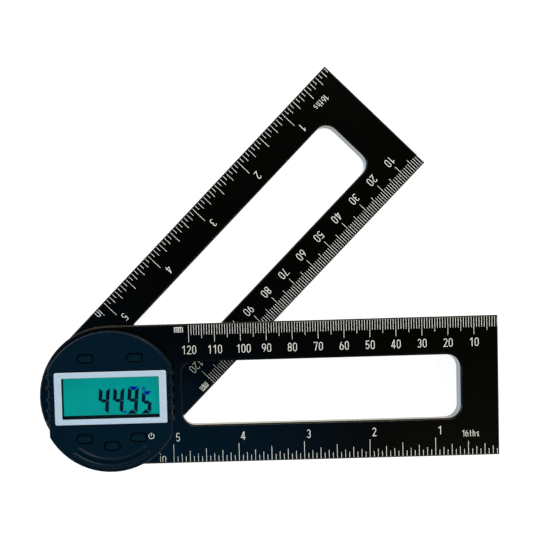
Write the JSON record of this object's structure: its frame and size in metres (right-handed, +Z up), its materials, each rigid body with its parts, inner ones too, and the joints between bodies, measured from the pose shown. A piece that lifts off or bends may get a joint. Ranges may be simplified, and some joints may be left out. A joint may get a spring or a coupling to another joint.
{
  "type": "digital angle finder",
  "caption": "Digital angle finder: black slotted rule arms that pivot under a round display head with a bright bezel and recessed buttons, shown at an acute angle.",
  "frame": {"origin": "on the pivot axis, in the plane of the underside that the tool rests on", "axes": "+X along the upper arm towards its free end, +Z up towards the display, +Y to the upper arm's left, on the side that the lower arm is open to"},
  "size_m": [0.178, 0.1532, 0.0206],
  "materials": {
    "arm_black": "black anodised, satin, with pale laser marked scales",
    "case_plastic": "fine moulded satin",
    "bezel_silver": "silver, satin",
    "lens_clear": "clear, polished",
    "lcd_glass": "lit teal behind dark segments",
    "frame_black": "moulded black",
    "light_guide": "translucent white",
    "strip_rubber": "layered silicone",
    "board_green": "solder mask",
    "steel": "turned and rolled stainless",
    "screw_steel": "plated",
    "switch_steel": "stamped",
    "chassis_alloy": "stamped",
    "bearing_polymer": "moulded natural polymer",
    "button_rubber": "matte slate grey",
    "lid_plastic": "moulded black"
  },
  "bodies": {
    "lower": {"lower_arm": "arm_black", "bearing_sleeve": "bearing_polymer", "encoder_rotor": "board_green"},
    "head": {"upper_arm": "arm_black", "display_case": "case_plastic", "display_bezel": "bezel_silver", "display_lens": "lens_clear", "lcd_panel": "lcd_glass", "lcd_frame": "frame_black", "sensor_connector": "frame_black", "backlight": "light_guide", "lcd_connector": "strip_rubber", "circuit_board": "board_green", "encoder_stator": "board_green", "pivot_hub": "steel", "wave_spring": "steel", "battery": "steel", "contact_spring": "steel", "contact_clip": "steel", "case_screw_1": "screw_steel", "case_screw_2": "screw_steel", "case_screw_3": "screw_steel", "case_screw_4": "screw_steel", "hub_screw_1": "screw_steel", "hub_screw_2": "screw_steel", "hub_screw_3": "screw_steel", "hub_screw_4": "screw_steel", "board_screw_1": "screw_steel", "board_screw_2": "screw_steel", "board_screw_3": "screw_steel", "switch_upper_left": "switch_steel", "switch_upper_right": "switch_steel", "switch_lower_left": "switch_steel", "switch_lower_middle": "switch_steel", "switch_lower_right": "switch_steel", "chassis_plate": "chassis_alloy"},
    "lid": {"battery_lid": "lid_plastic"},
    "button_upper_left": {"button_upper_left": "button_rubber"},
    "button_upper_right": {"button_upper_right": "button_rubber"},
    "button_lower_left": {"button_lower_left": "button_rubber"},
    "button_lower_middle": {"button_lower_middle": "button_rubber"},
    "button_lower_right": {"button_lower_right": "button_rubber"}
  },
  "joints": [
    {"name": "arm_pivot", "type": "hinge", "parent": "lower", "child": "head", "pos_m": [0, 0, 0], "axis": [0, 0, 1], "continuous": true},
    {"name": "battery_lid_twist", "type": "hinge", "parent": "head", "child": "lid", "pos_m": [0, 0, 0], "axis": [0, 0, 1], "range_deg": [0, 60]},
    {"name": "press_upper_left", "type": "slide", "parent": "head", "child": "button_upper_left", "axis": [0, 0, -1], "range_m": [0, 0.0005], "stiffness_N_per_m": 150, "springref_m": -0.0006},
    {"name": "press_upper_right", "type": "slide", "parent": "head", "child": "button_upper_right", "axis": [0, 0, -1], "range_m": [0, 0.0005], "stiffness_N_per_m": 150, "springref_m": -0.0006},
    {"name": "press_lower_left", "type": "slide", "parent": "head", "child": "button_lower_left", "axis": [0, 0, -1], "range_m": [0, 0.0005], "stiffness_N_per_m": 150, "springref_m": -0.0006},
    {"name": "press_lower_middle", "type": "slide", "parent": "head", "child": "button_lower_middle", "axis": [0, 0, -1], "range_m": [0, 0.0005], "stiffness_N_per_m": 150, "springref_m": -0.0006},
    {"name": "press_lower_right", "type": "slide", "parent": "head", "child": "button_lower_right", "axis": [0, 0, -1], "range_m": [0, 0.0005], "stiffness_N_per_m": 150, "springref_m": -0.0006}
  ]
}
